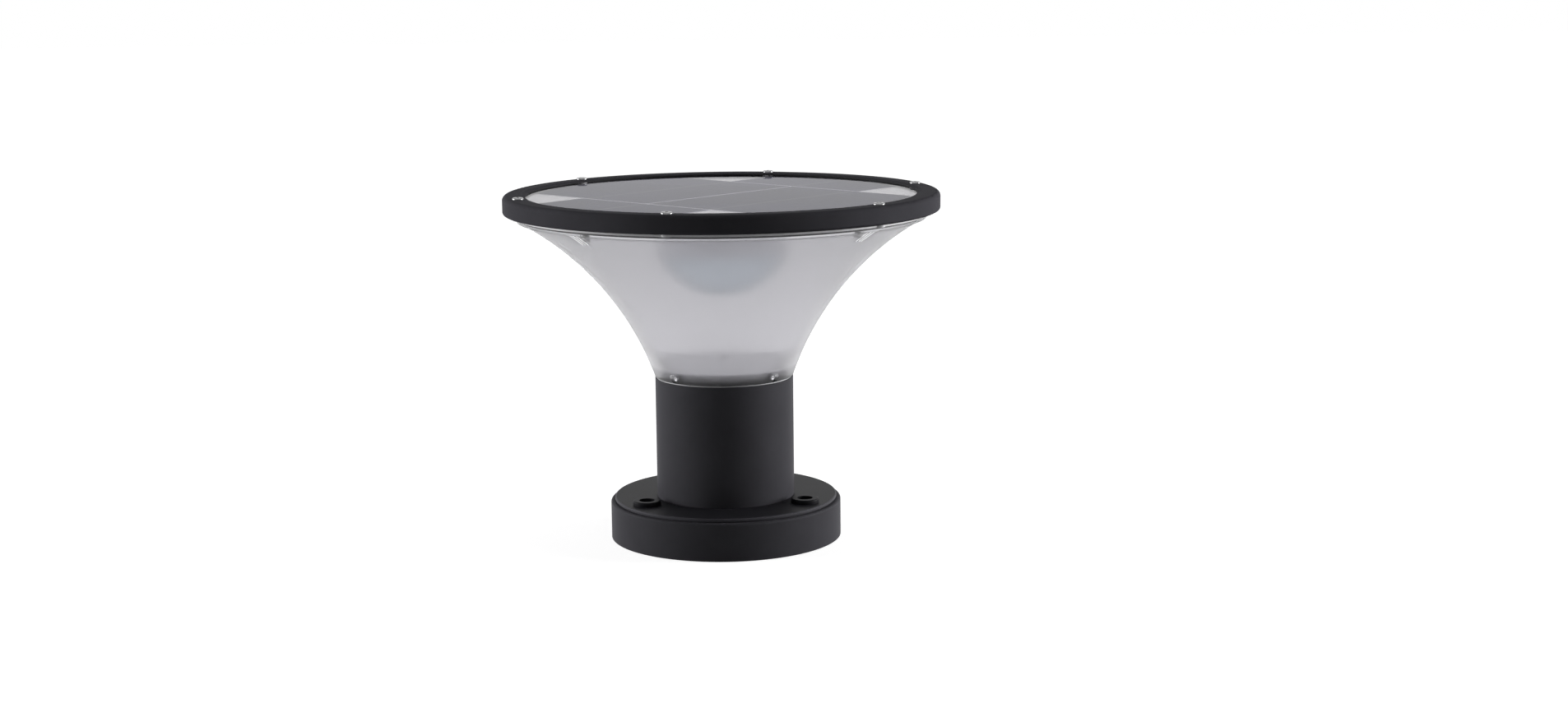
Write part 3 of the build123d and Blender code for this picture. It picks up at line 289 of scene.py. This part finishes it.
def powder_coat(name, specular):
    """Black powder coat: fine orange peel, little or no gloss."""
    black = (0.049, 0.048, 0.0545)
    shader = Shader(name, black, roughness=0.5, Specular_IOR_Level=specular)
    place = shader.place()
    clouds = shader.noise(COAT_CLOUDS, place)
    shader.paint(shader.uneven(clouds, black, COAT_TONES))
    shader.rub(clouds, COAT_DRIFT)
    shader.bump(shader.noise(COAT_PEEL, place), PEEL_DEPTH)
    return shader.material


def plate_coat():
    """Smoother black coat on the flange plate, with a painted highlight along its rounded edge."""
    black = (0.010, 0.0098, 0.0118)
    edge_highlight = (0.055, 0.054, 0.062)
    shader = Shader("plate_coat", black, roughness=0.45, Specular_IOR_Level=0.05)
    place = shader.place()
    x, y = shader.parts(place)[:2]
    flat = shader.uneven(shader.noise(COAT_CLOUDS, place), black, PLATE_TONES)
    # Painted highlight: the plate's edge is painted lighter, as if a lamp caught it.
    edge = shader.math("GREATER_THAN", shader.hypot(x, y), PLATE_EDGE_RADIUS)
    shader.paint(shader.blend(edge, flat, edge_highlight))
    shader.bump(shader.noise(COAT_PEEL, place), PEEL_DEPTH)
    return shader.material


def painted_shade_cap():
    """The post's cap: black, with a rim painted with light at its top that fades into shade lower down."""
    black = (0.06, 0.06, 0.063)
    painted_light = (0.90, 0.90, 0.91)
    shader = Shader("painted_shade_cap", black, roughness=0.7)
    place = shader.place()
    height = shader.parts(place)["Z"]
    # Painted light and shade: the rim darkens from its top downwards.
    shader.paint(shader.blend(shader.ramp(height, CAP_FADE_LOW, CAP_TOP), black, painted_light))
    shader.bump(shader.noise(CAP_GRAIN, place), FINE_DEPTH)
    return shader.material


def moulded(name, colour, roughness, specular=0.4, grain=MOULD_GRAIN, depth=MOULD_DEPTH):
    """Moulded plastic or rubber with a fine texture and slightly uneven tone."""
    shader = Shader(name, colour, roughness, Specular_IOR_Level=specular)
    place = shader.place()
    clouds = shader.noise(MOULD_CLOUDS, place)
    shader.paint(shader.uneven(clouds, colour, MOULD_TONES))
    shader.rub(clouds, MOULD_DRIFT)
    shader.bump(shader.noise(grain, place), depth)
    return shader.material


def rubber(name, colour):
    """Dull moulded rubber."""
    return moulded(name, colour, roughness=0.7, specular=0.2, grain=RUBBER_GRAIN)


def metal(name, colour, roughness):
    """Plated or stainless metal with faint turning marks."""
    shader = Shader(name, colour, roughness, Metallic=1.0)
    place = shader.place()
    clouds = shader.noise(METAL_CLOUDS, place)
    shader.paint(shader.uneven(clouds, colour, METAL_TONES))
    shader.rub(clouds, METAL_DRIFT)
    shader.bump(shader.noise(METAL_GRAIN, place), FINE_DEPTH)
    return shader.material


def frosted_shade():
    """Milky frosted plastic: light passes, shapes behind it soften. Its screw marks are polished facets that
    mirror the surroundings, with a painted dark line of shade down their middle; the rim of its flange is
    painted lighter as a highlight, and its collar painted darker as shade.
    """
    low_milk = (0.755, 0.751, 0.772)
    high_milk = (0.705, 0.702, 0.722)
    white = (0.97, 0.97, 0.98)
    dark = (0.10, 0.10, 0.105)
    collar = (0.53, 0.527, 0.545)
    clearness = 0.9
    shader = Shader("frosted_shade", low_milk, roughness=0.3, IOR=1.12)
    place = shader.place()
    x, y, z = shader.parts(place)
    clouds = shader.spread(shader.noise(MILK_CLOUDS, place), -MILK_CLOUD_DRIFT, MILK_CLOUD_DRIFT)
    rise = shader.math("ADD", shader.ramp(z, MILK_FADE_LOW, MILK_FADE_HIGH), clouds)
    wall = shader.blend(rise, low_milk, high_milk)

    sideways = shader.sideways(MARK_TURN, x, y)
    upright = shader.math("COMPARE", z, MARK_MIDDLE, MARK_HALF_HEIGHT)
    mark = shader.math("MULTIPLY", upright, shader.math("COMPARE", sideways, 0.0, MARK_HALF_WIDTH))
    line = shader.math("MULTIPLY", upright, shader.math("COMPARE", sideways, 0.0, MARK_LINE_HALF_WIDTH))
    # Painted highlight: the rim of the flange is tinted white.
    rim = shader.math("GREATER_THAN", z, FLANGE_RIM_LOW)
    bright = shader.blend(shader.math("MAXIMUM", mark, rim), wall, white)
    # Painted shade: a dark line down the middle of each screw mark.
    marked = shader.blend(line, bright, dark)
    # Painted shade: the collar at the shade's foot is darker, as shade from the black post inside it.
    shader.paint(shader.blend(shader.ramp(z, COLLAR_FADE_LOW, COLLAR_FADE_HIGH), collar, marked))

    blocked = shader.math("MULTIPLY", mark, clearness)
    shader.drive("Transmission Weight", shader.math("SUBTRACT", clearness, blocked))
    shader.drive("Metallic", shader.math("SUBTRACT", mark, line))
    shader.bump(shader.noise(SHADE_GRAIN, place), FINE_DEPTH)
    return shader.material


def diffuser_dome():
    """Bluish satin diffuser over the LEDs, which lets most of the light through."""
    tone = (0.93, 0.965, 0.99)
    shader = Shader("diffuser_dome", tone, roughness=0.3, Transmission_Weight=0.95, IOR=1.08)
    shader.paint(shader.uneven(shader.noise(DOME_CLOUDS), tone, DOME_TONES))
    return shader.material


def panel_glass():
    """Low-gloss solar glass with a faint stipple."""
    clear = (0.985, 0.975, 1.0)
    shader = Shader("panel_glass", clear, roughness=0.02, Transmission_Weight=1.0, IOR=1.045)
    shader.bump(shader.noise(GLASS_STIPPLE), STIPPLE_DEPTH)
    return shader.material


def silicon():
    """Solar cells: dark blue-grey silicon with fine fingers and flat busbars."""
    dark = (0.050, 0.046, 0.110)
    light = (0.064, 0.059, 0.138)
    silver = (0.24, 0.25, 0.26)
    shader = Shader("silicon", dark, roughness=0.35, Specular_IOR_Level=0.4)
    turn = shader.node("ShaderNodeVectorRotate", Angle=-math.radians(PANEL_TURN))
    turn.rotation_type = "Z_AXIS"
    shader.join(shader.place(), turn.inputs["Vector"])
    along, across = shader.parts(turn.outputs["Vector"])[:2]

    ripple = shader.math("FRACT", shader.math("DIVIDE", along, FINGER_PITCH))
    finger = shader.math("LESS_THAN", ripple, FINGER_SHARE)
    in_strip = shader.math("LESS_THAN", shader.math("ABSOLUTE", along), STRIP_HALF_WIDTH)
    busbar_place = shader.math("MULTIPLY", in_strip, STRIP_BUSBAR)
    off_busbar = shader.math("SUBTRACT", shader.math("ABSOLUTE", across), busbar_place)
    busbar = shader.math("LESS_THAN", shader.math("ABSOLUTE", off_busbar), BUSBAR_WIDTH / 2)
    printed = shader.math("MAXIMUM", shader.math("MULTIPLY", finger, FINGER_STRENGTH), busbar)

    tone = shader.blend(shader.spread(shader.noise(CELL_CLOUDS), 0.0, 1.0), dark, light)
    shader.paint(shader.blend(printed, tone, silver))
    return shader.material


# The finish of each material slot in the record
finishes = {
    "black_casting": powder_coat("satin_coat", specular=0.02),
    "black_plastic": moulded("black_plastic", (0.014, 0.014, 0.015), roughness=0.5, specular=0.25),
    "button_red": moulded("button_red", (0.40, 0.022, 0.020), roughness=0.35),
    "black_rubber": rubber("black_rubber", (0.012, 0.012, 0.012)),
    "clear_silicone": moulded("clear_silicone", (0.62, 0.63, 0.64), roughness=0.4),
    "pad_foam": moulded(
        "pad_foam", (0.05, 0.05, 0.052), roughness=0.9, specular=0.1, grain=FOAM_GRAIN, depth=FOAM_DEPTH
    ),
    "zinc_screw": metal("zinc_screw", (0.62, 0.61, 0.57), roughness=0.34),
    "dark_screw": metal("dark_screw", (0.22, 0.22, 0.225), roughness=0.14),
    "reflector_metal": metal("reflector_metal", (0.93, 0.93, 0.94), roughness=0.3),
    "nickel": metal("nickel", (0.66, 0.62, 0.55), roughness=0.3),
    "battery_wrap": moulded("battery_wrap", (0.02, 0.12, 0.38), roughness=0.3),
    "clear_shade": frosted_shade(),
    "tray_plastic": moulded("tray_plastic", (0.665, 0.66, 0.68), roughness=0.4),
    "housing_plastic": moulded("housing_plastic", (0.96, 0.96, 0.98), roughness=0.45),
    "dome_plastic": diffuser_dome(),
    "led_board_white": moulded("led_board_white", (0.80, 0.80, 0.78), roughness=0.4),
    "led_phosphor": moulded("led_phosphor", (0.80, 0.62, 0.12), roughness=0.4),
    "board_green": moulded("board_green", (0.015, 0.12, 0.045), roughness=0.35),
    "board_parts": moulded("board_parts", (0.02, 0.02, 0.02), roughness=0.5),
    "backsheet_white": moulded("backsheet_white", (0.15, 0.15, 0.156), roughness=0.5),
    "silicon": silicon(),
    "panel_glass": panel_glass(),
}

# Nodes whose finish differs from that of their slot
own_finishes = {
    "top_bezel": powder_coat("matt_coat", specular=0.0015),
    "flange_plate": plate_coat(),
    "post_cap": painted_shade_cap(),
    "cable_grommet": rubber("pale_rubber", (0.60, 0.60, 0.61)),
    "shade_gasket": rubber("grey_rubber", (0.13, 0.13, 0.132)),
    "shade_foot_screws": metal("foot_screw", (0.60, 0.60, 0.61), roughness=0.14),
}


def dress_nodes():
    """Give each CAD node its own finish, or the finish of its slot in the record."""
    for entry in frame["record"]["subparts"]:
        name = entry["node"]
        finish = own_finishes.get(name) or finishes[entry["material_slot"]]
        solid = frame["nodes"][name]
        solid.data.materials.clear()
        solid.data.materials.append(finish)
    frame["nodes"]["panel_glass"].visible_shadow = False


def make_spring():
    """The switch's return spring, copied as a mesh of its own onto the lamp's body in place of the CAD part;
    on the real lamp it shortens from below as the button goes in.
    """
    solid = frame["nodes"]["switch_spring"]
    spring = bpy.data.objects.new("return_spring", solid.data.copy())
    bpy.context.scene.collection.objects.link(spring)
    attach(spring, "lamp")
    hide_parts("switch_spring")
    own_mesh(spring)


def seen_share(tree):
    """1 for camera, glossy and transmission rays, 0 for the diffuse rays that light the object."""
    path = tree.nodes.new("ShaderNodeLightPath")
    share = path.outputs["Is Camera Ray"]
    for ray in ("Is Glossy Ray", "Is Transmission Ray"):
        larger = tree.nodes.new("ShaderNodeMath")
        larger.operation = "MAXIMUM"
        tree.links.new(share, larger.inputs[0])
        tree.links.new(path.outputs[ray], larger.inputs[1])
        share = larger.outputs[0]
    return share


def join_surface(tree, output, share, first, second):
    """Let a share from 0 to 1 choose between two shaders as the output's surface."""
    mix = tree.nodes.new("ShaderNodeMixShader")
    for source, slot in zip((share, first.outputs[0], second.outputs[0]), mix.inputs):
        tree.links.new(source, slot)
    tree.links.new(mix.outputs[0], output.inputs["Surface"])


def floor_finish():
    """Pale from above, with a glow for what is seen but not for what is lit, and clear from below."""
    shader = Shader(
        "floor_white", FLOOR_COLOUR, FLOOR_ROUGHNESS, Specular_IOR_Level=0.0, Emission_Color=WHITE
    )
    tree = shader.material.node_tree
    reach = shader.hypot(*shader.parts(shader.place())[:2])
    glow = shader.stretch(reach, FLOOR_GLOW_RADII, NEAR_FLOOR_GLOW, FAR_FLOOR_GLOW)
    shader.drive("Emission Strength", shader.math("MULTIPLY", seen_share(tree), glow))
    from_below = shader.node("ShaderNodeNewGeometry").outputs["Backfacing"]
    clear = shader.node("ShaderNodeBsdfTransparent")
    join_surface(tree, shader.nodes["Material Output"], from_below, shader.principled, clear)
    return shader.material


def make_floor():
    """Pale floor that keeps the object's shadow and reads white to the camera."""
    half = FLOOR_SIZE / 2
    mesh = bpy.data.meshes.new("floor")
    corners = [(-half, -half, 0), (half, -half, 0), (half, half, 0), (-half, half, 0)]
    mesh.from_pydata(corners, [], [(0, 1, 2, 3)])
    mesh.materials.append(floor_finish())
    floor = bpy.data.objects.new("floor", mesh)
    floor.location.z = FLOOR_HEIGHT
    bpy.context.scene.collection.objects.link(floor)


def make_world():
    """White surroundings for what is seen, softer light for what is lit."""
    world = bpy.data.worlds.new("studio")
    bpy.context.scene.world = world
    world.use_nodes = True
    tree = world.node_tree
    tree.nodes.clear()
    output = tree.nodes.new("ShaderNodeOutputWorld")
    lit = tree.nodes.new("ShaderNodeBackground")
    seen = tree.nodes.new("ShaderNodeBackground")
    for background, strength in ((lit, AMBIENT), (seen, 1.0)):
        background.inputs["Strength"].default_value = strength
        background.inputs["Color"].default_value = WHITE
    join_surface(tree, output, seen_share(tree), lit, seen)


def add_softbox(name, place, size, power, spared):
    """A soft lamp, unseen itself both directly and through the shade. The spared pieces don't mirror it."""
    lamp = bpy.data.lights.new(name, "AREA")
    lamp.shape = "RECTANGLE"
    lamp.size, lamp.size_y = size
    lamp.energy = power
    softbox = bpy.data.objects.new(name, lamp)
    softbox.visible_camera = False
    softbox.visible_transmission = False
    softbox.location = place
    softbox.rotation_euler = (LAMP_AIM - Vector(place)).to_track_quat("-Z", "Y").to_euler()
    softbox.light_linking.receiver_collection = spared
    bpy.context.scene.collection.objects.link(softbox)


def make_lamps():
    """A softbox on each side, a little behind the object, and one overhead."""
    spared = bpy.data.collections.new("spared")
    spared.objects.link(frame["nodes"]["panel_glass"])
    spared.collection_objects[0].light_linking.link_state = "EXCLUDE"
    side, back, height = SIDE_LAMP_PLACE
    add_softbox("left_softbox", (-side, back, height), SIDE_LAMP_SIZE, LEFT_LAMP_POWER, spared)
    add_softbox("right_softbox", (side, back, height), SIDE_LAMP_SIZE, RIGHT_LAMP_POWER, spared)
    add_softbox("top_softbox", TOP_LAMP_PLACE, TOP_LAMP_SIZE, TOP_LAMP_POWER, spared)


def make_camera():
    """The photograph's viewpoint."""
    pitch = math.radians(CAMERA_PITCH)
    yaw = math.radians(CAMERA_YAW)
    roll = math.radians(CAMERA_ROLL)
    forward = Vector((math.sin(yaw) * math.cos(pitch), math.cos(yaw) * math.cos(pitch), math.sin(pitch)))
    level = forward.cross(Vector((0, 0, 1))).normalized()
    upright = level.cross(forward)
    right = math.cos(roll) * level + math.sin(roll) * upright
    up = math.cos(roll) * upright - math.sin(roll) * level
    view = bpy.data.cameras.new("camera")
    view.lens = CAMERA_LENS_MM
    view.sensor_width = CAMERA_SENSOR_MM
    view.clip_start = CAMERA_CLIP
    camera = bpy.data.objects.new("camera", view)
    turn = Matrix((right, up, -forward)).transposed().to_4x4()
    camera.matrix_world = Matrix.Translation(CAMERA_PLACE) @ turn
    bpy.context.scene.collection.objects.link(camera)
    bpy.context.scene.camera = camera


dress_nodes()
make_spring()
make_floor()
make_world()
make_lamps()
make_camera()
bpy.context.scene.view_settings.view_transform = "Standard"
